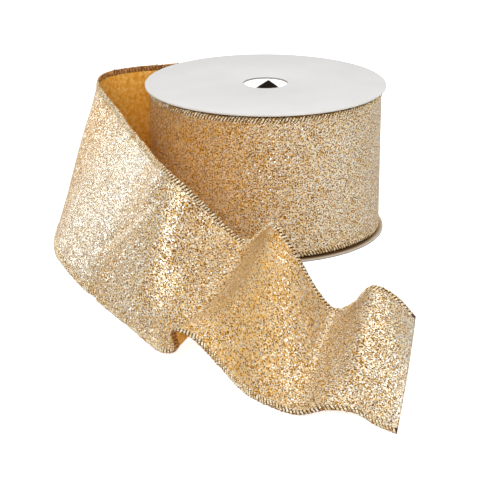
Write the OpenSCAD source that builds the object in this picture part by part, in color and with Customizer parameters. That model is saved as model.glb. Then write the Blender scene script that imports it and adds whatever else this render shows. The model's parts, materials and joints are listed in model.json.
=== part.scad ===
// Wired glitter ribbon on a card spool, with a free tail that bends round in front of the roll.
// Millimetres. Z is the spool's axis, and z = 0 is the surface that the spool stands on.
// The origin is the centre of the bottom flange's outer face.

/* [Spool] */
// Diameter of both flanges
flange_d = 108; // [107:0.5:112]
// Thickness of the flange card
flange_t = 0.8; // [0.5:0.1:1]
// Diameter of the bore through the flanges and the core tube
bore_d = 19.8; // [16:0.1:21]
// Wall of the core tube
tube_wall = 2; // [1:0.1:2.5]

/* [Ribbon] */
// Width of the ribbon over both stitched edges
ribbon_w = 63.5; // [63:0.1:64]
// Gap between the ribbon's edge and each flange
side_gap = 0.85; // [0.6:0.05:1]
// Thickness of the glitter fabric
fabric_t = 0.35; // [0.2:0.05:0.5]
// Width of the overlocked edge
edge_w = 2.4; // [2:0.1:3]
// Thickness of the overlocked edge
edge_t = 1; // [0.8:0.1:1.2]
// Diameter of the wire inside each edge
wire_d = 0.3; // [0.2:0.05:0.4]
// Outer diameter of the wound roll
roll_d = 104.6; // [104:0.1:105]

/* [Starter tape] */
// Width of the tape that holds the ribbon's first end to the tube
tape_w = 19; // [12:1:25]
// Thickness of the tape
tape_t = 0.1; // [0.05:0.05:0.2]
// How far the tape goes round the tube, in degrees
tape_span = 150; // [60:10:300]

/* [Hidden] */

card_white = "whitesmoke";
gold = "goldenrod";
thread_gold = "darkgoldenrod";
wire_grey = "silver";
tape_buff = "burlywood";

tube_h = ribbon_w + 2 * side_gap;
spool_h = tube_h + 2 * flange_t;
tube_r = bore_d / 2 + tube_wall;
ribbon_z = flange_t + side_gap;
fit_gap = 0.05;                            // slack of the wire in its channel and of the roll on the tape
turn_gap = 0.3;                            // slack between the last turn and the turns under it
wound_in_r = tube_r + tape_t + fit_gap;
wound_out_r = roll_d / 2 - edge_t - turn_gap;
turn_r = roll_d / 2 - edge_t / 2;          // middle of the last turn
wire_inset = edge_w / 2;                   // the wire runs in the middle of the stitched edge
channel_r = wire_d / 2 + fit_gap;
fabric_inset = wire_inset + channel_r + 0.2;  // the fabric's cut edge lies inside the stitching
leave_az = 98;                             // where the tail leaves the roll, counter-clockwise from +X
turn_break = 14;                           // the last turn starts this far past the place where the tail leaves

// The tail, from the roll to its cut end: lower edge, upper edge, and how far the middle
// bows towards the glitter side. The points stand about 15 mm apart along the ribbon.
leave = [turn_r * cos(leave_az), turn_r * sin(leave_az)];
stations = [
    [[leave[0], leave[1], ribbon_z], [leave[0], leave[1], ribbon_z + ribbon_w], 0],
    // straight off the roll, glitter side to the back
    [[-20, 49.5, 1.7], [-20, 49.5, 65.1], 0],
    [[-32, 44, 1.8], [-33, 46, 65], 0],
    [[-44, 36, 2], [-46, 41, 65], 0],
    [[-57, 25.5, 2], [-60, 36.5, 65], 0],
    [[-69, 16, 2.5], [-72, 27.5, 65], 0],
    // the bend that turns the glitter side to the front
    [[-80, 7, 3], [-76, 14, 65], 2],
    [[-88.5, -4, 4], [-73.5, 0, 64], 4],
    [[-92.5, -18, 5], [-69, -13, 62.5], 3],
    [[-93, -32, 5.5], [-64, -26.5, 61], 2],
    [[-92, -46.5, 6], [-60, -40, 60], 1],
    [[-89.5, -61, 6], [-56, -53.5, 59.5], 0],
    [[-84, -75.5, 5.5], [-52, -67, 59.5], 0],
    // the long front stretch
    [[-77.5, -89, 4], [-48, -81, 59.5], 0],
    [[-70, -102, 2.5], [-44.5, -95, 60], 0],
    [[-61.5, -115, 1], [-40, -107.5, 60], 1],
    [[-54, -128, 0.6], [-31.5, -114, 54], 2],
    [[-47, -142, 0.6], [-22.5, -110, 43.5], 0],
    // the tuck in the lower edge
    [[-41, -154, 1.5], [-14.5, -110, 35], -2],
    [[-35.5, -159, 4], [-8, -112, 31.5], -3],
    [[-36.5, -161, 12.5], [-3, -117, 37], -5],
    [[-29, -166.5, 12.5], [0, -125.5, 43], -4],
    // the waves before the cut end
    [[-20, -173.5, 6], [2.5, -135, 47], 1],
    [[-13, -182.5, 1.5], [7.5, -142, 42.5], 4],
    [[-7, -193, 0.6], [13, -146, 34], 5],
    [[1, -202.5, 0.6], [18.5, -148, 24.5], 3],
    [[10, -209, 0.8], [25, -151, 18], 1],
    [[20, -212, 4], [32, -154, 21.5], 2],
    [[29.5, -213.5, 3.5], [38.5, -158.5, 30], 3],
    [[37, -218, 0.8], [47, -162, 27.5], 3],
    [[43.5, -224, 0.6], [54.5, -164.5, 20], 2]
];
steps = 2;                                 // rings for each stretch between two stations

// A smooth curve through points a, b, c and d, from b at t = 0 to c at t = 1.
function smooth(a, b, c, d, t) =
    (2 * b + (c - a) * t + (2 * a - 5 * b + 4 * c - d) * t * t + (3 * b - a - 3 * c + d) * t * t * t) / 2;
function along(p) = [
    for (i = [0 : len(p) - 2], s = [0 : steps - 1])
        smooth(i == 0 ? 2 * p[0] - p[1] : p[i - 1], p[i], p[i + 1],
               i == len(p) - 2 ? 2 * p[i + 1] - p[i] : p[i + 2], s / steps),
    p[len(p) - 1]
];
function unit(v) = v / norm(v);

low = along([for (s = stations) s[0]]);
high = along([for (s = stations) s[1]]);
bow = along([for (s = stations) s[2]]);
last = len(low) - 1;
middle = [for (i = [0 : last]) (low[i] + high[i]) / 2];
across = [for (i = [0 : last]) unit(high[i] - low[i])];
// The first ring faces along the roll, so that the tail meets the last turn face to face.
forward = [for (i = [0 : last]) i == 0 ? [-sin(leave_az), cos(leave_az), 0]
                                       : unit(middle[min(i + 1, last)] - middle[i - 1])];
outward = [for (i = [0 : last]) unit(cross(forward[i], across[i]))];

// A point on ring i of the tail, d mm in from the lower edge and h mm off the middle of the cloth.
function tail_point(i, d, h) =
    let (w = norm(high[i] - low[i]), v = d / ribbon_w)
    low[i] + across[i] * w * v + outward[i] * (4 * bow[i] * v * (1 - v) + h);

// The outline of an overlocked edge: a flat oval, as [across, outward] offsets from its middle.
oval = [for (k = [0 : 9]) let (a = 36 * k + 18)
    [sign(cos(a)) * (edge_w - edge_t) / 2 + cos(a) * edge_t / 2, sin(a) * edge_t / 2]];
function ring(r, n) = [for (k = [0 : n - 1]) let (a = 360 * (k + 0.5) / n) r * [cos(a), sin(a)]];

// A four-sided facet as two triangles, split along either diagonal.
function halves(q, other) = other ? [[q[0], q[1], q[3]], [q[1], q[2], q[3]]]
                                  : [[q[0], q[1], q[2]], [q[0], q[2], q[3]]];

// A closed skin over rings of n points each, n even; its two ends are strips across the ring.
// Both faces of a thin sheet are split along the same diagonals, so that they never cross.
module skin(rings, n) {
    count = len(rings);
    e = (count - 1) * n;
    sides = [for (i = [0 : count - 2], k = [0 : n - 1]) let (m = (k + 1) % n)
        each halves([i * n + k, i * n + m, (i + 1) * n + m, (i + 1) * n + k], k >= n / 2)];
    ends = [for (k = [0 : n / 2 - 2])
        each concat(halves([k + 1, k, n - 1 - k, n - 2 - k], false),
                    halves([e + k, e + k + 1, e + n - 2 - k, e + n - 1 - k], false))];
    polyhedron([for (r = rings, p = r) p], concat(sides, ends), convexity = 10);
}
// The same with a channel inside: an outer and an inner set of rings.
module tube_skin(outer, inner, n) {
    count = len(outer);
    e = (count - 1) * n;
    rest = count * n;
    walls = [for (i = [0 : count - 2], k = [0 : n - 1]) let (m = (k + 1) % n)
        each concat(halves([i * n + k, i * n + m, (i + 1) * n + m, (i + 1) * n + k], false),
                    halves([rest + i * n + m, rest + i * n + k,
                            rest + (i + 1) * n + k, rest + (i + 1) * n + m], false))];
    ends = [for (k = [0 : n - 1]) let (m = (k + 1) % n)
        each concat(halves([m, k, rest + k, rest + m], false),
                    halves([e + k, e + m, rest + e + m, rest + e + k], false))];
    polyhedron([for (r = concat(outer, inner), p = r) p], concat(walls, ends), convexity = 10);
}

// An outline swept along one edge of the tail, d mm in from the lower edge.
function swept(outline, d) = [for (i = [0 : last]) [for (p = outline) tail_point(i, d + p[0], p[1])]];

module flange(z) {
    translate([0, 0, z]) difference() {
        cylinder(h = flange_t, d = flange_d, $fn = 180);
        translate([0, 0, -1]) cylinder(h = flange_t + 2, d = bore_d, $fn = 96);
    }
}
module bottom_flange() { color(card_white) flange(0); }
module top_flange() { color(card_white) flange(spool_h - flange_t); }

module core_tube() {
    color(card_white) translate([0, 0, flange_t]) difference() {
        cylinder(h = tube_h, r = tube_r, $fn = 96);
        translate([0, 0, -1]) cylinder(h = tube_h + 2, d = bore_d, $fn = 96);
    }
}

module starter_tape() {
    color(tape_buff) rotate([0, 0, leave_az]) rotate_extrude(angle = tape_span, $fn = 96)
        translate([tube_r, (spool_h - tape_w) / 2]) square([tape_t, tape_w]);
}

// The turns under the last one, as plain rings.
module wound_ring(z, h) {
    rotate_extrude($fn = 180) translate([wound_in_r, z]) square([wound_out_r - wound_in_r, h]);
}
module wound_fabric() { color(gold) wound_ring(ribbon_z + edge_w, ribbon_w - 2 * edge_w); }
module wound_lower_edges() { color(thread_gold) wound_ring(ribbon_z, edge_w); }
module wound_upper_edges() { color(thread_gold) wound_ring(ribbon_z + ribbon_w - edge_w, edge_w); }

// The last turn: an open ring that ends where the tail leaves.
module last_turn() {
    rotate([0, 0, leave_az + turn_break]) rotate_extrude(angle = 360 - turn_break, $fn = 180) children();
}
module outer_turn_fabric() {
    color(gold) last_turn() translate([turn_r - fabric_t / 2, ribbon_z + fabric_inset])
        square([fabric_t, ribbon_w - 2 * fabric_inset]);
}
module turn_edge(z) {
    last_turn() translate([turn_r, z]) difference() {
        union() {
            square([edge_t, edge_w - edge_t], center = true);
            for (s = [-1, 1]) translate([0, s * (edge_w - edge_t) / 2]) circle(d = edge_t, $fn = 32);
        }
        circle(r = channel_r, $fn = 24);
    }
}
module turn_wire(z) { last_turn() translate([turn_r, z]) circle(d = wire_d, $fn = 24); }
module outer_turn_lower_edge() { color(thread_gold) turn_edge(ribbon_z + wire_inset); }
module outer_turn_upper_edge() { color(thread_gold) turn_edge(ribbon_z + ribbon_w - wire_inset); }
module outer_turn_lower_wire() { color(wire_grey) turn_wire(ribbon_z + wire_inset); }
module outer_turn_upper_wire() { color(wire_grey) turn_wire(ribbon_z + ribbon_w - wire_inset); }

// The tail's cloth, with seven points across each face.
columns = 6;
module tail_fabric() {
    reach = ribbon_w - 2 * fabric_inset;
    places = [for (k = [0 : columns]) fabric_inset + reach * k / columns];
    color(gold) skin([for (i = [0 : last]) concat(
        [for (k = [0 : columns]) tail_point(i, places[k], -fabric_t / 2)],
        [for (k = [columns : -1 : 0]) tail_point(i, places[k], fabric_t / 2)])], 2 * columns + 2);
}
module tail_edge(d) { tube_skin(swept(oval, d), swept(ring(channel_r, 10), d), 10); }
module tail_wire(d) { skin(swept(ring(wire_d / 2, 6), d), 6); }
module tail_lower_edge() { color(thread_gold) tail_edge(wire_inset); }
module tail_upper_edge() { color(thread_gold) tail_edge(ribbon_w - wire_inset); }
module tail_lower_wire() { color(wire_grey) tail_wire(wire_inset); }
module tail_upper_wire() { color(wire_grey) tail_wire(ribbon_w - wire_inset); }

bottom_flange();
top_flange();
core_tube();
starter_tape();
wound_fabric();
wound_lower_edges();
wound_upper_edges();
outer_turn_fabric();
outer_turn_lower_edge();
outer_turn_upper_edge();
outer_turn_lower_wire();
outer_turn_upper_wire();
tail_fabric();
tail_lower_edge();
tail_upper_edge();
tail_lower_wire();
tail_upper_wire();
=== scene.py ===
# A card spool of wired glitter ribbon, with its free end bent round in front of the roll.
import json
import math

import bpy
import numpy as np
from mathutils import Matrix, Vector, noise


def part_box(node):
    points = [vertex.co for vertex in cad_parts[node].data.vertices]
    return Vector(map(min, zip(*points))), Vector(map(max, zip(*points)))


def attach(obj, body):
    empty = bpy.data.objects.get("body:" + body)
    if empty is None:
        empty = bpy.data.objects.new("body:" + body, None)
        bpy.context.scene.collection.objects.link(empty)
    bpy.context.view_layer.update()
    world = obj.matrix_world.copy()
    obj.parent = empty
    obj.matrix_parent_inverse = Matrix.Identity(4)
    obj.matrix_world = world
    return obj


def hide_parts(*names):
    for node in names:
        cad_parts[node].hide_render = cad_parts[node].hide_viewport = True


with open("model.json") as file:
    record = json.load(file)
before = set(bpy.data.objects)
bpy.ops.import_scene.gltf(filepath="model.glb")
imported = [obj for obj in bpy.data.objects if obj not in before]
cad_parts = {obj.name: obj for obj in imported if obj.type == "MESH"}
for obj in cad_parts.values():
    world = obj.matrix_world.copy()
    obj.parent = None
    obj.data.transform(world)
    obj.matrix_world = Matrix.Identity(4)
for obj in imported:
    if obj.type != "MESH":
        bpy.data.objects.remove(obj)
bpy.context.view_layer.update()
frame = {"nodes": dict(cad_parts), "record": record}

mm = 0.001
scene = bpy.context.scene

# sizes that every piece shares, read from the frame
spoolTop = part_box("top_flange")[1].z
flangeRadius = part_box("top_flange")[1].x
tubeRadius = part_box("core_tube")[1].x
boreRadius = frame["record"]["mounts"][0]["dims"]["r_mm"] * mm
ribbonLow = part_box("wound_lower_edges")[0].z
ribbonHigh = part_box("wound_upper_edges")[1].z
ribbonWidth = ribbonHigh - ribbonLow
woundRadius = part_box("wound_fabric")[1].x
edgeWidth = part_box("wound_lower_edges")[1].z - ribbonLow
edgeThickness = 1.0 * mm
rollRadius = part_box("outer_turn_lower_edge")[1].x
turnRadius = rollRadius - edgeThickness / 2


def deselectAll():
    if bpy.context.object and bpy.context.object.mode != "OBJECT":
        bpy.ops.object.mode_set(mode="OBJECT")
    bpy.ops.object.select_all(action="DESELECT")


# one camera, fitted to the two flanges' outlines by a separate program
cameraValues = {
    "aim": Vector((-6.95, 0.0, -12.92)) * mm,
    "distance": 837.3 * mm,
    "elevation": 19.8,
    "lens": 130.24,
}


def makeCamera():
    tilt = math.radians(cameraValues["elevation"])
    back = Vector((0, -math.cos(tilt), math.sin(tilt)))
    place = cameraValues["aim"] + back * cameraValues["distance"]
    deselectAll()
    bpy.ops.object.camera_add(location=place, rotation=(math.pi / 2 - tilt, 0, 0))
    camera = bpy.context.object
    camera.name = "spoolCamera"
    camera.data.lens = cameraValues["lens"]
    scene.camera = camera


makeCamera()
print("camera ready")


leaveAngle = 98  # where the free end leaves the roll, in degrees
turnOverlap = 14  # how far past that place the wound turns run, in degrees

# Lower edge, upper edge, and how far the middle bows towards the glitter, in millimetres,
# about 15 mm apart along the free end. They were typed to about half a millimetre and moved by
# eye, but they start from a strip that a separate program fitted, and part.scad repeats them.
stations = [
    # straight off the roll, glitter side to the back
    ((-20, 49.5, 1.7), (-20, 49.5, 65.1), 0),
    ((-32, 44, 1.8), (-33, 46, 65), 0),
    ((-44, 36, 2), (-46, 41, 65), 0),
    ((-57, 25.5, 2), (-60, 36.5, 65), 0),
    ((-69, 16, 2.5), (-72, 27.5, 65), 0),
    # the bend that turns the glitter side to the front
    ((-80, 7, 3), (-76, 14, 65), 2),
    ((-88.5, -4, 4), (-73.5, 0, 64), 4),
    ((-92.5, -18, 5), (-69, -13, 62.5), 3),
    ((-93, -32, 5.5), (-64, -26.5, 61), 2),
    ((-92, -46.5, 6), (-60, -40, 60), 1),
    ((-89.5, -61, 6), (-56, -53.5, 59.5), 0),
    ((-84, -75.5, 5.5), (-52, -67, 59.5), 0),
    # the long front stretch
    ((-77.5, -89, 4), (-48, -81, 59.5), 0),
    ((-70, -102, 2.5), (-44.5, -95, 60), 0),
    ((-61.5, -115, 1), (-40, -107.5, 60), 1),
    ((-54, -128, 0.6), (-31.5, -114, 54), 2),
    ((-47, -142, 0.6), (-22.5, -110, 43.5), 0),
    # the tuck in the lower edge
    ((-41, -154, 1.5), (-14.5, -110, 35), -2),
    ((-35.5, -159, 4), (-8, -112, 31.5), -3),
    ((-36.5, -161, 12.5), (-3, -117, 37), -5),
    ((-29, -166.5, 12.5), (0, -125.5, 43), -4),
    # the waves before the cut end
    ((-20, -173.5, 6), (2.5, -135, 47), 1),
    ((-13, -182.5, 1.5), (7.5, -142, 42.5), 4),
    ((-7, -193, 0.6), (13, -146, 34), 5),
    ((1, -202.5, 0.6), (18.5, -148, 24.5), 3),
    ((10, -209, 0.8), (25, -151, 18), 1),
    ((20, -212, 4), (32, -154, 21.5), 2),
    ((29.5, -213.5, 3.5), (38.5, -158.5, 30), 3),
    ((37, -218, 0.8), (47, -162, 27.5), 3),
    ((43.5, -224, 0.6), (54.5, -164.5, 20), 2),
]


def smoothLine(points, steps):
    # Catmull-Rom through the points, with the ends carried straight on
    p = np.array(points, float)
    p = np.vstack([2 * p[0] - p[1], p, 2 * p[-1] - p[-2]])
    line = []
    for i in range(1, len(p) - 2):
        a, b, c, d = p[i - 1], p[i], p[i + 1], p[i + 2]
        for t in np.arange(steps) / steps:
            line.append((2 * b + (c - a) * t + (2 * a - 5 * b + 4 * c - d) * t**2
                         + (3 * b - a - 3 * c + d) * t**3) / 2)
    return np.array(line + [p[-2]])


def unitRows(v):
    return v / np.linalg.norm(v, axis=-1, keepdims=True)


def roundTurn(angles, radii):
    # the low and high edge of a turn, at each angle in degrees
    a = np.radians(angles)
    low = np.column_stack([radii * np.cos(a), radii * np.sin(a), np.full(len(a), ribbonLow)])
    return low, low + (0, 0, ribbonWidth)


def meshPiece(name, points, faces, uvName=None, uv=None):
    mesh = bpy.data.meshes.new(name)
    mesh.from_pydata(points.tolist(), [], faces)
    if uvName:
        layer = mesh.uv_layers.new(name=uvName)
        loops = np.zeros(len(mesh.loops), int)
        mesh.loops.foreach_get("vertex_index", loops)
        layer.data.foreach_set("uv", np.asarray(uv, float)[loops].ravel())
    mesh.shade_smooth()
    piece = bpy.data.objects.new(name, mesh)
    scene.collection.objects.link(piece)
    return piece


def gridFaces(rows, columns):
    i, k = np.meshgrid(np.arange(rows - 1), np.arange(columns - 1), indexing="ij")
    a = (i * columns + k).ravel()
    return np.column_stack([a, a + columns, a + columns + 1, a + 1]).tolist()


def sweepTube(path, side, up, outline):
    # a closed tube: the outline's (side, up) offsets at each point of the path, with capped ends
    n = len(outline)
    rings = path[:, None] + side[:, None] * outline[None, :, :1] + up[:, None] * outline[None, :, 1:]
    i, k = np.meshgrid(np.arange(len(path) - 1), np.arange(n), indexing="ij")
    m = (k + 1) % n
    quads = np.stack([i * n + k, i * n + m, (i + 1) * n + m, (i + 1) * n + k], -1).reshape(-1, 4)
    last = (len(path) - 1) * n
    caps = [list(range(n))[::-1], list(range(last, last + n))]
    faces = quads.tolist() + caps
    # where side and up are left-handed about the path, the faces are turned to point outwards
    if np.dot(np.cross(side[0], up[0]), path[1] - path[0]) < 0:
        faces = [face[::-1] for face in faces]
    return rings.reshape(-1, 3), faces


def circle(radius, sides):
    a = np.arange(sides) * 2 * np.pi / sides
    return radius * np.column_stack([np.cos(a), np.sin(a)])


def oval(width, thickness, sides):
    a = (np.arange(sides) + 0.5) * 2 * np.pi / sides
    flat = (width - thickness) / 2
    return np.column_stack([np.sign(np.cos(a)) * flat + np.cos(a) * thickness / 2,
                            np.sin(a) * thickness / 2])


def hexColour(code):
    parts = [int(code[i:i + 2], 16) / 255 for i in (1, 3, 5)]
    return [p / 12.92 if p < 0.04045 else ((p + 0.055) / 1.055) ** 2.4 for p in parts] + [1]


def addNode(tree, kind, links, stops=(), **settings):
    node = tree.nodes.new("ShaderNode" + kind)
    for name, value in settings.items():
        setattr(node, name, value)
    for socket, source in links.items():
        if isinstance(source, bpy.types.NodeSocket):
            tree.links.new(source, node.inputs[socket])
        else:
            node.inputs[socket].default_value = source
    if stops:
        # a stop is a colour code, or a plain level
        stops = [(at, hexColour(c) if isinstance(c, str) else (c, c, c, 1)) for at, c in stops]
        band = node.color_ramp.elements
        band[0].position, band[1].position = stops[0][0], stops[-1][0]
        band[0].color, band[1].color = stops[0][1], stops[-1][1]
        for place, colour in stops[1:-1]:
            band.new(place).color = colour
    return node.outputs


def newMaterial(name, **sockets):
    material = bpy.data.materials.new(name)
    material.use_nodes = True
    shader = material.node_tree.nodes["Principled BSDF"]
    for socket, value in sockets.items():
        shader.inputs[socket.replace("_", " ")].default_value = value
    return material, material.node_tree, shader


glitterValues = {
    "grain": 0.38 * mm,      # real flakes are 0.1 to 0.2 mm, drawn about twice as coarse
    "flake": 0.66 * mm,      # spacing of the larger flakes
    "gap": 0.8 * mm,         # spacing of the dark gaps between flakes
    "gapShare": 0.85,        # share of the places for a gap that have one, where the glitter is thick
    "thinGapShare": 0.45,    # how much of that share is left where it is thin
    "gapSize": 0.36,         # as a part of the gaps' spacing
    "flakeSize": (0.24, 0.42),
    "flakeMetal": 0.6,
    "groundMetal": 0.5,
    "tilt": 0.5,
    # how thickly it lies, by distance in millimetres from the start of the last turn. It
    # paints silver and gold areas that on real glitter are probably mostly reflections.
    "coverAndSheen": [(0, 0.6), (110, 0.4), (135, 0.5), (160, 0.75), (180, 0.9), (230, 0.8), (300, 0.6),
              (430, 0.35), (465, 0.9), (500, 1.0), (512, 0.65), (530, 0.9), (550, 0.75), (580, 0.5),
              (605, 0.35), (628, 0.5), (676, 1.0)],
    "patch": 9 * mm,         # size of the areas with more or fewer flakes
}


def glitterFabric():
    # Metallised film flakes glued over ochre cloth: each is a tiny gold mirror at its own angle, so
    # the cloth turns from white, where the flakes mirror a light, to gold, where the ground shows.
    material, tree, shader = newMaterial("glitterFabric", Specular_IOR_Level=0.15)
    v = glitterValues
    uv = addNode(tree, "UVMap", {}, uv_map="cloth")[0]
    grains = addNode(tree, "TexVoronoi", {"Vector": uv, "Scale": 1 / v["grain"]}, voronoi_dimensions="2D")
    grain = addNode(tree, "SeparateColor", {0: grains["Color"]})
    # the glitter lies thicker in some places along the ribbon, and in patches; the first is also painted
    # reflection
    along = addNode(tree, "SeparateXYZ", {0: uv})[0]
    length = v["coverAndSheen"][-1][0]
    along = addNode(tree, "Math", {0: along, 1: 1 / (length * mm)}, operation="MULTIPLY", use_clamp=True)[0]
    coverAndSheen = addNode(tree, "ValToRGB", {0: along}, stops=[(at / length, c) for at, c in v["coverAndSheen"]])[0]
    patch = addNode(tree, "TexNoise", {"Vector": uv, "Scale": 1 / v["patch"], "Detail": 3})["Fac"]
    thickerAndBrighter = addNode(tree, "MapRange", {0: coverAndSheen, 3: -0.1, 4: 0.1})[0]
    tone = addNode(tree, "Math", {0: grain[0], 1: thickerAndBrighter}, operation="ADD", use_clamp=True)[0]
    ground = addNode(tree, "ValToRGB", {0: tone}, stops=[
        (0.0, "#5C3404"), (0.2, "#B67C1E"), (0.45, "#E0A83E"), (0.58, "#ECD498"), (1, "#FFFEF6")])[0]
    # painted reflection: the ground is drawn gold where the cover is low and near white where it is high
    thinAndDull = addNode(tree, "MapRange", {0: coverAndSheen, 1: 0.3, 2: 0.9, 3: 0.55, 4: 0.0})[0]
    ground = addNode(tree, "MixRGB", {0: thinAndDull, 1: ground, 2: hexColour("#DA9E34")})[0]
    thickAndSheen = addNode(tree, "MapRange", {0: coverAndSheen, 1: 0.92, 2: 1.0, 3: 0.0, 4: 0.3})[0]
    ground = addNode(tree, "MixRGB", {0: thickAndSheen, 1: ground, 2: hexColour("#FFFDF4")})[0]
    groundFilm = addNode(tree, "MapRange", {0: tone, 1: 0.5, 2: 0.7, 3: 0.0, 4: v["groundMetal"]})[0]
    # larger flakes, one to a cell, more in some areas than in others
    flakes = addNode(tree, "TexVoronoi", {"Vector": uv, "Scale": 1 / v["flake"]}, voronoi_dimensions="2D")
    flake = addNode(tree, "SeparateColor", {0: flakes["Color"]})
    share = addNode(tree, "MapRange", {0: patch, 1: 0.3, 2: 0.7, 3: 0.1, 4: 0.45})[0]
    share = addNode(tree, "Math", {0: coverAndSheen, 1: 0.5, 2: share}, operation="MULTIPLY_ADD")[0]
    small, large = v["flakeSize"]
    size = addNode(tree, "MapRange", {0: flake[1], 3: small, 4: large})[0]
    inside = addNode(tree, "Math", {0: flakes["Distance"], 1: size}, operation="LESS_THAN")[0]
    there = addNode(tree, "Math", {0: flake[0], 1: share}, operation="LESS_THAN")[0]
    dot = addNode(tree, "Math", {0: inside, 1: there}, operation="MULTIPLY")[0]
    film = addNode(tree, "ValToRGB", {0: flake[2]}, stops=[
        (0.0, "#EEDAA6"), (0.5, "#FAF4DE"), (1, "#FFFFFC")])[0]
    # dark gaps between the flakes: painted shade in the hollows between them
    gaps = addNode(tree, "TexVoronoi", {"Vector": uv, "Scale": 1 / v["gap"]}, voronoi_dimensions="2D")
    gap = addNode(tree, "SeparateColor", {0: gaps["Color"]})
    near = addNode(tree, "Math", {0: gaps["Distance"], 1: v["gapSize"]}, operation="LESS_THAN")[0]
    thinShare = v["thinGapShare"] * v["gapShare"]
    gapShare = addNode(tree, "MapRange", {0: coverAndSheen, 1: 0.3, 2: 0.8, 3: thinShare, 4: v["gapShare"]})[0]
    chosen = addNode(tree, "Math", {0: gap[0], 1: gapShare}, operation="LESS_THAN")[0]
    hollow = addNode(tree, "Math", {0: near, 1: chosen}, operation="MULTIPLY")[0]
    colour = addNode(tree, "MixRGB", {0: hollow, 1: ground, 2: hexColour("#6A3C04")})[0]
    colour = addNode(tree, "MixRGB", {0: dot, 1: colour, 2: film})[0]
    solid = addNode(tree, "Math", {0: 1.0, 1: hollow}, operation="SUBTRACT")[0]
    metal = addNode(tree, "Math", {0: groundFilm, 1: solid}, operation="MULTIPLY")[0]
    shiny = addNode(tree, "Math", {0: dot, 1: v["flakeMetal"]}, operation="MULTIPLY")[0]
    metal = addNode(tree, "Math", {0: metal, 1: shiny}, operation="MAXIMUM")[0]
    # the woven edge under the stitching has no glitter; its dark brown is also painted shade under the yarn
    place = addNode(tree, "SeparateXYZ", {0: uv})[1]
    other = addNode(tree, "Math", {0: ribbonWidth, 1: place}, operation="SUBTRACT")[0]
    nearest = addNode(tree, "Math", {0: place, 1: other}, operation="MINIMUM")[0]
    edgeBand = addNode(tree, "Math", {0: nearest, 1: 0.9 * edgeWidth}, operation="LESS_THAN")[0]
    colour = addNode(tree, "MixRGB", {0: edgeBand, 1: colour, 2: hexColour("#4E2A0A")})[0]
    metal = addNode(tree, "MixRGB", {0: edgeBand, 1: metal, 2: (0, 0, 0, 1)})[0]
    # every flake leans its own way
    leans = addNode(tree, "MixRGB", {0: dot, 1: grains["Color"], 2: flakes["Color"]})[0]
    spread = addNode(tree, "VectorMath", {0: leans, 1: (0.5, 0.5, 0.5)}, operation="SUBTRACT")[0]
    lean = addNode(tree, "VectorMath", {0: spread, "Scale": v["tilt"]}, operation="SCALE")[0]
    normal = addNode(tree, "NewGeometry", {})["Normal"]
    leaning = addNode(tree, "VectorMath", {0: lean, 1: normal}, operation="ADD")[0]
    facing = addNode(tree, "VectorMath", {0: leaning}, operation="NORMALIZE")[0]
    gloss = addNode(tree, "MapRange", {0: dot, 3: 0.42, 4: 0.25})[0]
    tree.links.new(colour, shader.inputs["Base Color"])
    tree.links.new(metal, shader.inputs["Metallic"])
    tree.links.new(gloss, shader.inputs["Roughness"])
    tree.links.new(facing, shader.inputs["Normal"])
    return material


# real threads are 0.15 mm, drawn six times as coarse
satinValues = {"weave": 0.9 * mm, "mottle": 2.2 * mm}


def satinReverse():
    # Dyed polyester ground cloth: ochre, with a soft broken lustre and fine mottling.
    material, tree, shader = newMaterial("satinReverse", Roughness=0.5, Sheen_Weight=0.25,
                                         Sheen_Roughness=0.4)
    shader.inputs["Sheen Tint"].default_value = hexColour("#F2C66E")
    v = satinValues
    uv = addNode(tree, "UVMap", {}, uv_map="cloth")[0]
    mottle = addNode(tree, "TexNoise", {"Vector": uv, "Scale": 1 / v["mottle"], "Detail": 4})["Fac"]
    cells = addNode(tree, "TexVoronoi", {"Vector": uv, "Scale": 1 / v["weave"]}, voronoi_dimensions="2D")
    grain = addNode(tree, "SeparateColor", {0: cells["Color"]})[0]
    both = addNode(tree, "Math", {0: grain, 1: 0.35, 2: mottle}, operation="MULTIPLY_ADD")[0]
    colour = addNode(tree, "ValToRGB", {0: both}, stops=[
        (0.4, "#DE9426"), (0.65, "#F0AA38"), (0.95, "#FACB74")])[0]
    place = addNode(tree, "SeparateXYZ", {0: uv})[1]
    other = addNode(tree, "Math", {0: ribbonWidth, 1: place}, operation="SUBTRACT")[0]
    nearest = addNode(tree, "Math", {0: place, 1: other}, operation="MINIMUM")[0]
    edgeBand = addNode(tree, "Math", {0: nearest, 1: edgeWidth}, operation="LESS_THAN")[0]
    edged = addNode(tree, "MixRGB", {0: edgeBand, 1: colour, 2: hexColour("#7A4716")})[0]
    bump = addNode(tree, "Bump", {"Strength": 0.3, "Distance": 0.1 * mm, "Height": both})[0]
    tree.links.new(edged, shader.inputs["Base Color"])
    tree.links.new(bump, shader.inputs["Normal"])
    return material


# the length of one twist of the yarn, and the size of a stray flake, drawn coarser than a real one
threadValues = {"twist": 0.8 * mm, "stray": 0.5 * mm}


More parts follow.
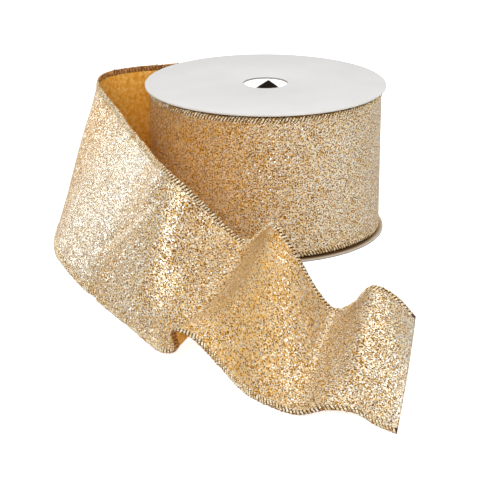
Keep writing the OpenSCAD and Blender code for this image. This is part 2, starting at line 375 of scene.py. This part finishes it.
def goldThread():
    # Metallic overlock yarn: bright pale gold on the glitter side, plain brown yarn on the reverse.
    material, tree, shader = newMaterial("goldThread", Metallic=0.05, Roughness=0.4)
    uv = addNode(tree, "UVMap", {}, uv_map="strand")[0]
    along = addNode(tree, "SeparateXYZ", {0: uv})
    turns = addNode(tree, "Math", {0: along[0], 1: 1 / threadValues["twist"], 2: along[1]},
                    operation="MULTIPLY_ADD")[0]
    ply = addNode(tree, "Math", {0: turns, 1: 0.5}, operation="PINGPONG")[0]
    ply = addNode(tree, "Math", {0: ply, 1: 2.0}, operation="MULTIPLY")[0]
    # stray flakes of glitter cling to the yarn, and the yarn itself is uneven
    place = addNode(tree, "TexCoord", {})["Object"]
    stray = addNode(tree, "TexVoronoi", {"Vector": place, "Scale": 1 / threadValues["stray"]})["Color"]
    stray = addNode(tree, "SeparateColor", {0: stray})[0]
    uneven = addNode(tree, "MapRange", {0: stray, 3: -0.7, 4: 0.7})[0]
    ply = addNode(tree, "Math", {0: ply, 1: uneven}, operation="ADD", use_clamp=True)[0]
    side = addNode(tree, "Attribute", {}, attribute_name="side")["Fac"]
    bright = addNode(tree, "ValToRGB", {0: ply}, stops=[
        (0.0, "#8A5418"), (0.3, "#D8A650"), (0.65, "#F6DFA2"), (1, "#FFFDEE")])[0]
    plain = addNode(tree, "ValToRGB", {0: ply}, stops=[
        (0.0, "#6B3A10"), (0.55, "#B87428"), (1, "#E3B268")])[0]
    colour = addNode(tree, "MixRGB", {0: side, 1: plain, 2: bright})[0]
    tree.links.new(colour, shader.inputs["Base Color"])
    bump = addNode(tree, "Bump", {"Strength": 0.6, "Distance": 0.1 * mm, "Height": ply})[0]
    tree.links.new(bump, shader.inputs["Normal"])
    return material


def woundThread():
    # The same yarn seen edge on in the imported turns: close ribs across each edge, drawn darker as painted
    # shade.
    material, tree, shader = newMaterial("woundThread", Metallic=0.4, Roughness=0.45)
    uv = addNode(tree, "UVMap", {}, uv_map="strand")[0]
    along = addNode(tree, "SeparateXYZ", {0: uv})[0]
    turns = addNode(tree, "Math", {0: along, 1: 1 / stitchValues["pitch"]}, operation="MULTIPLY")[0]
    rib = addNode(tree, "Math", {0: turns, 1: 0.5}, operation="PINGPONG")[0]
    # painted shade: darker browns than the outer yarn
    colour = addNode(tree, "ValToRGB", {0: rib}, stops=[
        (0.08, "#2E1806"), (0.25, "#7A5222"), (0.45, "#B08A4A")])[0]
    bump = addNode(tree, "Bump", {"Strength": 1, "Distance": 0.2 * mm, "Height": rib})[0]
    tree.links.new(colour, shader.inputs["Base Color"])
    tree.links.new(bump, shader.inputs["Normal"])
    return material


def coatedCard():
    # Clay coated white board: smooth, matt and even, with faint pulp clouds under the coat.
    material, tree, shader = newMaterial("coatedCard", Roughness=0.55, Specular_IOR_Level=0.35)
    place = addNode(tree, "TexCoord", {})["Object"]
    cloud = addNode(tree, "TexNoise", {"Vector": place, "Scale": 1 / (14 * mm), "Detail": 4})["Fac"]
    fibre = addNode(tree, "TexNoise", {"Vector": place, "Scale": 1 / (0.8 * mm), "Detail": 2})["Fac"]
    colour = addNode(tree, "ValToRGB", {0: cloud}, stops=[(0.3, "#E0DFDD"), (0.7, "#E4E3E1")])[0]
    bump = addNode(tree, "Bump", {"Strength": 0.08, "Distance": 0.05 * mm, "Height": fibre})[0]
    tree.links.new(colour, shader.inputs["Base Color"])
    tree.links.new(bump, shader.inputs["Normal"])
    return material


shadeReach = 2.4 * mm  # how far the painted shade runs in from the bottom flange's rim


def shadedCard():
    # The same board under the roll, with the roll's shade and warm light painted in near the rim.
    material, tree, shader = newMaterial("shadedCard", Roughness=0.5, Specular_IOR_Level=0.35)
    place = addNode(tree, "TexCoord", {})["Object"]
    flat = addNode(tree, "VectorMath", {0: place, 1: (1, 1, 0)}, operation="MULTIPLY")[0]
    radius = addNode(tree, "VectorMath", {0: flat}, operation="LENGTH")["Value"]
    fibre = addNode(tree, "TexNoise", {"Vector": place, "Scale": 1 / (0.8 * mm), "Detail": 2})["Fac"]
    spread = addNode(tree, "MapRange", {0: radius, 1: flangeRadius - shadeReach, 2: flangeRadius})[0]
    colour = addNode(tree, "ValToRGB", {0: spread}, stops=[
        (0.0, "#7A5A38"), (0.45, "#B39C80"), (0.85, "#D6C8B6"), (1, "#E6DED2")])[0]
    bump = addNode(tree, "Bump", {"Strength": 0.08, "Distance": 0.05 * mm, "Height": fibre})[0]
    tree.links.new(colour, shader.inputs["Base Color"])
    tree.links.new(bump, shader.inputs["Normal"])
    return material


def cutCardEdge(name, dark, light):
    # The cut edge of the board: bare pulp in thin layers, in the two shades that it is given.
    material, tree, shader = newMaterial(name, Roughness=0.85, Specular_IOR_Level=0.2)
    place = addNode(tree, "TexCoord", {})["Object"]
    flat = addNode(tree, "VectorMath", {0: place, 1: (0.15, 0.15, 1)}, operation="MULTIPLY")[0]
    layers = addNode(tree, "TexNoise", {"Vector": flat, "Scale": 1 / (0.25 * mm), "Detail": 2})["Fac"]
    colour = addNode(tree, "ValToRGB", {0: layers}, stops=[(0.3, dark), (0.7, light)])[0]
    bump = addNode(tree, "Bump", {"Strength": 0.4, "Distance": 0.1 * mm, "Height": layers})[0]
    tree.links.new(colour, shader.inputs["Base Color"])
    tree.links.new(bump, shader.inputs["Normal"])
    return material


tubeValues = {
    "stripWidth": 32 * mm,
    "seam": 0.04,
    "glow": 0.6,             # painted light, not a property of paper: it makes the hole look as white as the floor
    # the dark wedge of painted shade on the lining: its place across, its top below the mouth, and its
    # slope
    "wedge": (1.4 * mm, 1.0 * mm, 0.62),
    "sides": 96,
    "edgeRound": 0.1 * mm,
}


def spiralPaper():
    # Spiral wound paper tube: white and dull, with a fine slanting seam where the strip meets itself.
    # The dark wedge inside is painted shade deep in the bore. It stands for a dark shape whose real cause
    # isn't known.
    material, tree, shader = newMaterial("spiralPaper", Roughness=0.8, Specular_IOR_Level=0.2)
    place = addNode(tree, "TexCoord", {})["Object"]
    axes = addNode(tree, "SeparateXYZ", {0: place})
    turn = addNode(tree, "Math", {0: axes[1], 1: axes[0]}, operation="ARCTAN2")[0]
    turn = addNode(tree, "Math", {0: turn, 1: 1 / (2 * math.pi)}, operation="MULTIPLY")[0]
    climb = addNode(tree, "Math", {0: axes[2], 1: 1 / tubeValues["stripWidth"], 2: turn},
                    operation="MULTIPLY_ADD")[0]
    strip = addNode(tree, "Math", {0: climb, 1: 0.5}, operation="PINGPONG")[0]
    seam = addNode(tree, "Math", {0: strip, 1: tubeValues["seam"]}, operation="LESS_THAN")[0]
    # the lining is what lies on the bore, and the wedge widens away from each mouth
    flat = addNode(tree, "VectorMath", {0: place, 1: (1, 1, 0)}, operation="MULTIPLY")[0]
    radius = addNode(tree, "VectorMath", {0: flat}, operation="LENGTH")["Value"]
    inside = addNode(tree, "Math", {0: radius, 1: boreRadius + 0.05 * mm}, operation="LESS_THAN")[0]
    above = addNode(tree, "Math", {0: spoolTop, 1: axes[2]}, operation="SUBTRACT")[0]
    end = addNode(tree, "Math", {0: above, 1: axes[2]}, operation="MINIMUM")[0]
    wedgeAt, wedgeTop, wedgeSlope = tubeValues["wedge"]
    aside = addNode(tree, "Math", {0: axes[0], 1: wedgeAt}, operation="SUBTRACT")[0]
    aside = addNode(tree, "Math", {0: aside}, operation="ABSOLUTE")[0]
    lining = addNode(tree, "Math", {0: aside, 1: wedgeSlope, 2: wedgeTop}, operation="MULTIPLY_ADD")[0]
    past = addNode(tree, "Math", {0: end, 1: lining}, operation="SUBTRACT")[0]
    deep = addNode(tree, "MapRange", {0: past, 1: 0.0, 2: 0.5 * mm})[0]
    dark = addNode(tree, "Math", {0: inside, 1: deep}, operation="MULTIPLY")[0]
    lined = addNode(tree, "Math", {0: inside, 1: dark}, operation="SUBTRACT")[0]
    # painted light: the lining above the wedge glows white
    glow = addNode(tree, "Math", {0: lined, 1: tubeValues["glow"]}, operation="MULTIPLY")[0]
    shader.inputs["Emission Color"].default_value = (1, 1, 1, 1)
    tree.links.new(glow, shader.inputs["Emission Strength"])
    fibre = addNode(tree, "TexNoise", {"Vector": place, "Scale": 1 / (0.6 * mm), "Detail": 3})["Fac"]
    pulp = addNode(tree, "ValToRGB", {0: fibre}, stops=[(0.3, "#E2DED6"), (0.7, "#F3F1EC")])[0]
    colour = addNode(tree, "MixRGB", {0: seam, 1: pulp, 2: hexColour("#B9B2A5")})[0]
    # painted shade: the wedge is drawn near black
    colour = addNode(tree, "MixRGB", {0: dark, 1: colour, 2: hexColour("#1E130E")})[0]
    bump = addNode(tree, "Bump", {"Strength": 0.3, "Distance": 0.1 * mm, "Height": fibre})[0]
    tree.links.new(colour, shader.inputs["Base Color"])
    tree.links.new(bump, shader.inputs["Normal"])
    return material


def gummedTape():
    # Kraft paper tape: buff, dull, with lengthwise fibres.
    material, tree, shader = newMaterial("gummedTape", Roughness=0.75)
    place = addNode(tree, "TexCoord", {})["Object"]
    drawn = addNode(tree, "VectorMath", {0: place, 1: (0.3, 0.3, 1)}, operation="MULTIPLY")[0]
    fibre = addNode(tree, "TexNoise", {"Vector": drawn, "Scale": 1 / (0.5 * mm), "Detail": 4})["Fac"]
    colour = addNode(tree, "ValToRGB", {0: fibre}, stops=[(0.3, "#A97F4E"), (0.7, "#C9A473")])[0]
    tree.links.new(colour, shader.inputs["Base Color"])
    return material


def drawnWire():
    # Soft annealed steel wire: dull grey with fine drawing lines.
    material, tree, shader = newMaterial("drawnWire", Metallic=1.0, Roughness=0.4)
    place = addNode(tree, "TexCoord", {})["Object"]
    lines = addNode(tree, "TexNoise", {"Vector": place, "Scale": 1 / (0.3 * mm), "Detail": 2})["Fac"]
    colour = addNode(tree, "ValToRGB", {0: lines}, stops=[(0.3, "#8E8E8C"), (0.7, "#B9B9B6")])[0]
    tree.links.new(colour, shader.inputs["Base Color"])
    return material


def seamlessPaper():
    # White studio paper. It glows to the camera only, so that it looks white without lighting the
    # object, and it isn't part of the object.
    material, tree, shader = newMaterial("seamlessPaper", Roughness=0.9)
    place = addNode(tree, "TexCoord", {})["Object"]
    cloud = addNode(tree, "TexNoise", {"Vector": place, "Scale": 3.0})["Fac"]
    colour = addNode(tree, "ValToRGB", {0: cloud}, stops=[(0.3, "#E2E2E2"), (0.7, "#E6E6E6")])[0]
    tree.links.new(colour, shader.inputs["Base Color"])
    seen = addNode(tree, "LightPath", {})["Is Camera Ray"]
    glow = addNode(tree, "MapRange", {0: seen, 3: 0.0, 4: studioValues["floorGlow"]})[0]
    shader.inputs["Emission Color"].default_value = (1, 1, 1, 1)
    tree.links.new(glow, shader.inputs["Emission Strength"])
    return material


studioValues = {
    "floorGlow": 0.8,
    "ambient": 0.42,         # the world's strength as a light
    "backdrop": 0.95,        # and as the camera sees it
    # place, aim, width, height in metres, power in watts
    "softboxes": [
        ("overheadSoftbox", (0.13, 0.4, 1.05), (0, -0.05, 0), 0.8, 0.55, 3.9),
        ("backSoftbox", (-0.8, 0.88, 0.14), (0, -0.05, 0.03), 0.55, 0.3, 2.2),
        ("leftSoftbox", (-0.6, -0.75, 0.8), (0, -0.05, 0.03), 0.5, 0.5, 3.5),
        ("rightSoftbox", (0.9, -0.35, 0.5), (0, -0.05, 0.03), 0.5, 0.6, 2.2),
        ("frontSoftbox", (-0.1, -1.2, 0.6), (0, -0.05, 0.03), 0.8, 0.5, 6.0),
    ],
}


def makeStudio():
    deselectAll()
    bpy.ops.mesh.primitive_grid_add(x_subdivisions=8, y_subdivisions=8, size=8)
    floor = bpy.context.object
    floor.name = "studioFloor"
    floor.data.materials.append(seamlessPaper())
    world = bpy.data.worlds.new("studioWorld")
    world.use_nodes = True
    scene.world = world
    tree = world.node_tree
    seen = addNode(tree, "LightPath", {})["Is Camera Ray"]
    level = addNode(tree, "MapRange", {0: seen, 3: studioValues["ambient"], 4: studioValues["backdrop"]})[0]
    tree.nodes["Background"].inputs["Color"].default_value = (1, 1, 1, 1)
    tree.links.new(level, tree.nodes["Background"].inputs["Strength"])
    for name, place, aim, width, height, power in studioValues["softboxes"]:
        turn = (Vector(aim) - Vector(place)).to_track_quat("-Z", "Y").to_euler()
        deselectAll()
        bpy.ops.object.light_add(type="AREA", location=place, rotation=turn)
        lamp = bpy.context.object
        lamp.name = name
        lamp.data.shape = "RECTANGLE"
        lamp.data.size, lamp.data.size_y = width, height
        lamp.data.energy = power
    scene.view_settings.view_transform = "Standard"


makeStudio()
print("studio ready")


cardValues = {"sides": 192, "edgeRound": 0.15 * mm}


def boredCylinder(name, node, sides, rounding):
    # a cylinder, its two caps inset to the bore and joined through, its sharp rims eased
    low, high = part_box(node)
    outer = high.x
    deselectAll()
    bpy.ops.mesh.primitive_cylinder_add(vertices=sides, radius=outer, depth=high.z - low.z,
                                        location=(0, 0, (low.z + high.z) / 2))
    piece = bpy.context.object
    piece.name = name
    bpy.ops.object.transform_apply(location=True, rotation=True, scale=True)
    bpy.ops.object.mode_set(mode="EDIT")
    bpy.ops.mesh.select_mode(type="FACE")
    bpy.ops.mesh.select_all(action="DESELECT")
    bpy.ops.object.mode_set(mode="OBJECT")
    for face in piece.data.polygons:
        face.select = abs(face.normal.z) > 0.9
    bpy.ops.object.mode_set(mode="EDIT")
    bpy.ops.mesh.inset(thickness=(outer - boreRadius) * math.cos(math.pi / sides))
    bpy.ops.mesh.bridge_edge_loops()
    bpy.ops.mesh.select_mode(type="EDGE")
    bpy.ops.mesh.select_all(action="DESELECT")
    bpy.ops.object.mode_set(mode="OBJECT")
    points = [v.co for v in piece.data.vertices]
    for edge in piece.data.edges:
        a, b = (points[i] for i in edge.vertices)
        ringed = abs(a.xy.length - b.xy.length) < 1e-5
        edge.select = ringed and abs(a.z - b.z) < 1e-6
    bpy.ops.object.mode_set(mode="EDIT")
    bpy.ops.mesh.bevel(offset=rounding, segments=3, affect="EDGES")
    bpy.ops.mesh.select_all(action="SELECT")
    bpy.ops.mesh.normals_make_consistent(inside=False)
    bpy.ops.object.mode_set(mode="OBJECT")
    bpy.ops.object.shade_smooth_by_angle(angle=math.radians(40))
    return piece


def makeFlange(name, node, body, faceMaterial, edgeMaterial, punchMaterial):
    card = boredCylinder(name, node, cardValues["sides"], cardValues["edgeRound"])
    card.data.materials.append(faceMaterial)
    card.data.materials.append(edgeMaterial)
    card.data.materials.append(punchMaterial)
    for face in card.data.polygons:
        if abs(face.normal.z) < 0.35:
            face.material_index = 1 if face.center.xy.length > (boreRadius + flangeRadius) / 2 else 2
    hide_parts(node)
    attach(card, body)


cardFace = coatedCard()
cardCut = cutCardEdge("cutCardEdge", "#CFCBC3", "#E9E6E0")
cardPunched = cutCardEdge("punchedCardEdge", "#928C86", "#B0AAA3")
# the bottom rim is drawn greyer, as painted shade
shadedRimEdge = cutCardEdge("shadedRimCardEdge", "#8F8880", "#B4ADA4")
makeFlange("bottomFlange", "bottom_flange", "spool", shadedCard(), shadedRimEdge, cardPunched)
makeFlange("topFlange", "top_flange", "spool", cardFace, cardCut, cardPunched)

paperCore = boredCylinder("coreTube", "core_tube", tubeValues["sides"], tubeValues["edgeRound"])
paperCore.data.materials.append(spiralPaper())
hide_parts("core_tube")
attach(paperCore, "spool")

tape = frame["nodes"]["starter_tape"]
tape.material_slots[0].material = gummedTape()
print("spool made")


stitchValues = {
    "pitch": 1.45 * mm,
    "plyGap": 0.44 * mm,
    "strand": 0.25 * mm,      # half the yarn's thickness
    "reach": 1.22 * mm,      # half the width that a stitch covers
    "lift": 0.36 * mm,       # how far the yarn stands off the cloth's middle
    "slant": 0.5 * mm,
    "uneven": 0.4,
    "points": 12,
    "sides": 5,
}
woundValues = {
    "pitch": 1.05 * mm,      # from one turn to the next
    "segments": 72,          # for each turn
    "clothThickness": 0.35 * mm,
    "tubeGap": 0.15 * mm,
    "hem": 0.3 * mm,         # the cloth stops this far inside its stitching
    "edgeSides": 8,
    "edgeShare": 0.96,       # a stitched edge's thickness, so that the turns stay just apart
}

clothFace, clothBack = glitterFabric(), satinReverse()


def addThickness(piece, thickness):
    deselectAll()
    piece.select_set(True)
    bpy.context.view_layer.objects.active = piece
    solid = piece.modifiers.new("thickness", "SOLIDIFY")
    solid.thickness = thickness
    solid.offset = 0
    solid.material_offset = 1
    solid.material_offset_rim = 1
    bpy.ops.object.modifier_apply(modifier=solid.name)


def windTurns():
    v = woundValues
    inner = tubeRadius + v["tubeGap"] + edgeThickness / 2
    outer = woundRadius - edgeThickness / 2
    turns = (outer - inner) / v["pitch"]
    count = int(turns * v["segments"])
    share = np.linspace(0, 1, count)
    angles = leaveAngle + turnOverlap - (1 - share) * turns * 360
    radii = inner + (outer - inner) * share
    low, high = roundTurn(angles, radii)
    run = np.concatenate([[0], np.cumsum(np.linalg.norm(np.diff(low, axis=0), axis=1))])
    places = np.array([v["hem"], ribbonWidth / 2, ribbonWidth - v["hem"]])
    points = low[:, None] + np.array([0, 0, 1.0]) * places[None, :, None]
    uv = np.stack(np.broadcast_arrays(run[:, None], places[None, :]), -1)
    cloth = meshPiece("woundTurns", points.reshape(-1, 3), gridFaces(count, 3), "cloth", uv.reshape(-1, 2))
    cloth.data.materials.append(clothFace)
    cloth.data.materials.append(clothBack)
    addThickness(cloth, v["clothThickness"])
    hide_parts("wound_fabric")
    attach(cloth, "spool")
    spokes = unitRows(low * (1, 1, 0))
    upward = np.tile([0.0, 0, 1], (count, 1))
    thread = woundThread()
    sides = v["edgeSides"]
    for name, node, height in (("woundLowerStitching", "wound_lower_edges", edgeWidth / 2),
                               ("woundUpperStitching", "wound_upper_edges", ribbonWidth - edgeWidth / 2)):
        outline = oval(edgeWidth, edgeThickness * v["edgeShare"], sides)
        tube, faces = sweepTube(low + upward * height, upward, -spokes, outline)
        strand = np.column_stack([np.repeat(run, sides), np.tile(np.arange(sides) / sides, count)])
        edge = meshPiece(name, tube, faces, "strand", strand)
        edge.data.materials.append(thread)
        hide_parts(node)
        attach(edge, "spool")
    return run[-1]


woundLength = windTurns()
print("wound turns made:", round(woundLength, 2), "m")


ribbonValues = {
    "steps": 10,             # rows between two stations
    "columns": 42,
    "start": 108,            # angle at which the last turn comes up off the turn below
    "riseAngle": 15,
    "angleStep": 1.66,       # degrees between two rows of the last turn
    "dive": 0.3 * mm,
    "pucker": 0.3 * mm,      # height of the small gathers beside the stitching
    "puckerReach": 6 * mm,
    "fold": 0.7 * mm,        # height of the soft slanting folds
    "rollPucker": 0.1 * mm,
    "lift": 0.6 * mm,        # the lower edge rides up a little at the front right
    "sink": 0.5 * mm,        # and the upper edge sits a little below the flange
    "sinkAngle": 30,
    "loosen": 25 * mm,       # over this length the folds grow as the ribbon leaves the roll
    "liftAngle": 310,
    "liftSpread": 35,
    "crease": 0.6 * mm,      # a soft crease across the first panel of the tail
    "creaseStart": 492 * mm,
    "creaseSlant": 0.88,
    "creaseWidth": 4 * mm,
    "gather": 2.2 * mm,      # a small gather that hangs from its lower edge
    "gatherAt": 511 * mm,
    "gatherWidth": 3 * mm,
    "clothThickness": 0.35 * mm,
}


def layRibbon():
    v = ribbonValues
    angles = np.arange(v["start"], leaveAngle + 360, v["angleStep"])
    rise = np.clip((angles - v["start"]) / v["riseAngle"], 0, 1)
    low, high = roundTurn(angles, turnRadius - v["dive"] * (1 - rise**2 * (3 - 2 * rise)))
    leaveLow, leaveHigh = roundTurn([leaveAngle], np.array([turnRadius]))
    tailLow = smoothLine([leaveLow[0]] + [np.array(s[0]) * mm for s in stations], v["steps"])
    tailHigh = smoothLine([leaveHigh[0]] + [np.array(s[1]) * mm for s in stations], v["steps"])
    tailBow = smoothLine([[0]] + [[s[2] * mm] for s in stations], v["steps"])[:, 0]
    lifted = np.exp(-(((angles - v["liftAngle"]) / v["liftSpread"]) ** 2))
    low[:, 2] += v["lift"] * lifted
    fromEnds = np.minimum(angles - angles[0], angles[-1] - angles)
    high[:, 2] -= v["sink"] * np.clip(fromEnds / v["sinkAngle"], 0, 1)
    turnRows = len(low)
    low, high = np.vstack([low, tailLow]), np.vstack([high, tailHigh])
    bow = np.concatenate([np.zeros(turnRows), tailBow])
    middle = (low + high) / 2
    forward = unitRows(np.gradient(middle, axis=0))
    across = unitRows(high - low)
    outward = unitRows(np.cross(forward, across))
    run = np.concatenate([[0], np.cumsum(np.linalg.norm(np.diff(middle, axis=0), axis=1))])
    share = np.linspace(0, 1, v["columns"] + 1)
    free = np.clip((run - run[turnRows]) / v["loosen"], 0, 1)
    height = 4 * bow[:, None] * (share * (1 - share))[None, :]
    for i, s in enumerate(run):
        small = v["rollPucker"] + (v["pucker"] - v["rollPucker"]) * free[i]
        for k, t in enumerate(share):
            d = t * ribbonWidth
            edge = min(d, ribbonWidth - d)
            near = math.exp(-edge / v["puckerReach"]) * min(1, edge / (2 * mm) + 0.2)
            gather = noise.noise(Vector((s / (4 * mm), 9 * (t > 0.5), 0.5)))
            slanted = noise.noise(Vector(((s + 0.7 * d) / (17 * mm), (d - 0.5 * s) / (70 * mm), 3)))
            creased = (s - v["creaseStart"] - v["creaseSlant"] * d) / v["creaseWidth"]
            spread = free[i] * min(1, max(0, (d - 8 * mm) / (18 * mm)))
            ridge = math.exp(-creased**2) - 0.8 * math.exp(-(creased + 1.5) ** 2)
            height[i, k] += v["crease"] * spread * ridge
            gathered = math.exp(-(((s - v["gatherAt"]) / v["gatherWidth"]) ** 2))
            height[i, k] -= v["gather"] * free[i] * gathered * max(0, 1 - d / (9 * mm)) ** 1.5
            height[i, k] += small * near * gather
            height[i, k] += v["fold"] * free[i] * slanted * math.sin(math.pi * t)
    points = (low[:, None] + (high - low)[:, None] * share[None, :, None]
              + outward[:, None] * height[:, :, None])
    uv = np.stack(np.broadcast_arrays(run[:, None], ribbonWidth * share[None, :]), -1)
    return points, uv, run, turnRows


grid, gridUv, ribbonRun, turnRows = layRibbon()
rows, columns = grid.shape[:2]
ribbon = meshPiece("freeRibbon", grid.reshape(-1, 3), gridFaces(rows, columns), "cloth",
                   gridUv.reshape(-1, 2))
ribbon.data.materials.append(clothFace)
ribbon.data.materials.append(clothBack)
addThickness(ribbon, ribbonValues["clothThickness"])
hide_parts("outer_turn_fabric", "tail_fabric")
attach(ribbon, "ribbon")
print("free ribbon laid:", round(ribbonRun[-1], 3), "m")


def edgeLine(nearColumn, innerColumn):
    # the middle of a stitched edge, with its inward and outward directions and its length so far
    rim, inner = grid[:, nearColumn], grid[:, innerColumn]
    inward = unitRows(inner - rim)
    forward = unitRows(np.gradient(rim, axis=0))
    outward = unitRows(np.cross(forward, inward))
    if nearColumn != 0:
        outward = -outward
    centre = rim + inward * edgeWidth / 2
    run = np.concatenate([[0], np.cumsum(np.linalg.norm(np.diff(centre, axis=0), axis=1))])
    return centre, inward, outward, run


def sampleRows(values, run, at):
    return np.column_stack([np.interp(at, run, values[:, i]) for i in range(3)])


threadMaterial = goldThread()


def stitchEdge(name, nodes, nearColumn, innerColumn):
    # two plies of yarn carried over and under the edge, once for every pitch
    v = stitchValues
    centre, inward, outward, run = edgeLine(nearColumn, innerColumn)
    allPoints, allFaces, allUv, allSides = [], [], [], []
    offset = 0
    for ply in (-0.5, 0.5):
        loops = int((run[-1] - 2 * v["plyGap"]) / v["pitch"])
        phase = np.arange(loops * v["points"] + 1) / v["points"]
        turn = 2 * np.pi * phase
        at = v["plyGap"] + (phase + 0.2) * v["pitch"] + ply * v["plyGap"] - v["slant"] * np.cos(turn)
        at = np.clip(at, 0, run[-1])
        side, up = sampleRows(inward, run, at), sampleRows(outward, run, at)
        uneven = np.array([1 + v["uneven"] * noise.noise(Vector((x / (1.3 * mm), 7 * ply, 2))) for x in at])
        path = (sampleRows(centre, run, at) + side * (v["reach"] * uneven * np.cos(turn))[:, None]
                + up * (v["lift"] * np.sin(turn))[:, None])
        along = unitRows(np.gradient(path, axis=0))
        normal = unitRows(side * (v["lift"] * np.cos(turn))[:, None]
                          + up * (v["reach"] * np.sin(turn))[:, None])
        binormal = unitRows(np.cross(along, normal))
        normal = np.cross(binormal, along)
        tube, faces = sweepTube(path, binormal, normal, circle(v["strand"], v["sides"]))
        length = np.concatenate([[0], np.cumsum(np.linalg.norm(np.diff(path, axis=0), axis=1))])
        allUv.append(np.column_stack([np.repeat(length, v["sides"]),
                                      np.tile(np.arange(v["sides"]) / v["sides"], len(path))]))
        allSides.append(np.repeat(np.clip(0.5 + 1.5 * np.sin(turn), 0, 1), v["sides"]))
        allPoints.append(tube)
        allFaces += [[offset + k for k in face] for face in faces]
        offset += len(tube)
    mesh = bpy.data.meshes.new(name)
    mesh.from_pydata(np.vstack(allPoints).tolist(), [], allFaces)
    layer = mesh.uv_layers.new(name="strand")
    loopPoints = np.zeros(len(mesh.loops), int)
    mesh.loops.foreach_get("vertex_index", loopPoints)
    layer.data.foreach_set("uv", np.vstack(allUv)[loopPoints].ravel())
    mesh.attributes.new("side", "FLOAT", "POINT").data.foreach_set("value", np.concatenate(allSides))
    mesh.shade_smooth()
    mesh.materials.append(threadMaterial)
    stitching = bpy.data.objects.new(name, mesh)
    scene.collection.objects.link(stitching)
    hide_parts(*nodes)
    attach(stitching, "ribbon")
    return stitching


wireMaterial = drawnWire()
wireValues = {"radius": 0.15 * mm, "sides": 6}


def layWire(name, nodes, nearColumn, innerColumn):
    centre, inward, outward, run = edgeLine(nearColumn, innerColumn)
    sides = wireValues["sides"]
    tube, faces = sweepTube(centre, inward, outward, circle(wireValues["radius"], sides))
    strand = np.column_stack([np.repeat(run, sides), np.tile(np.arange(sides) / sides, len(centre))])
    wire = meshPiece(name, tube, faces, "strand", strand)
    wire.data.materials.append(wireMaterial)
    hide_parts(*nodes)
    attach(wire, "ribbon")
    return wire


lowerStitching = stitchEdge("lowerStitching", ("outer_turn_lower_edge", "tail_lower_edge"), 0, 2)
upperStitching = stitchEdge("upperStitching", ("outer_turn_upper_edge", "tail_upper_edge"), -1, -3)
lowerWire = layWire("lowerWire", ("outer_turn_lower_wire", "tail_lower_wire"), 0, 2)
upperWire = layWire("upperWire", ("outer_turn_upper_wire", "tail_upper_wire"), -1, -3)
print("edges stitched and wired")
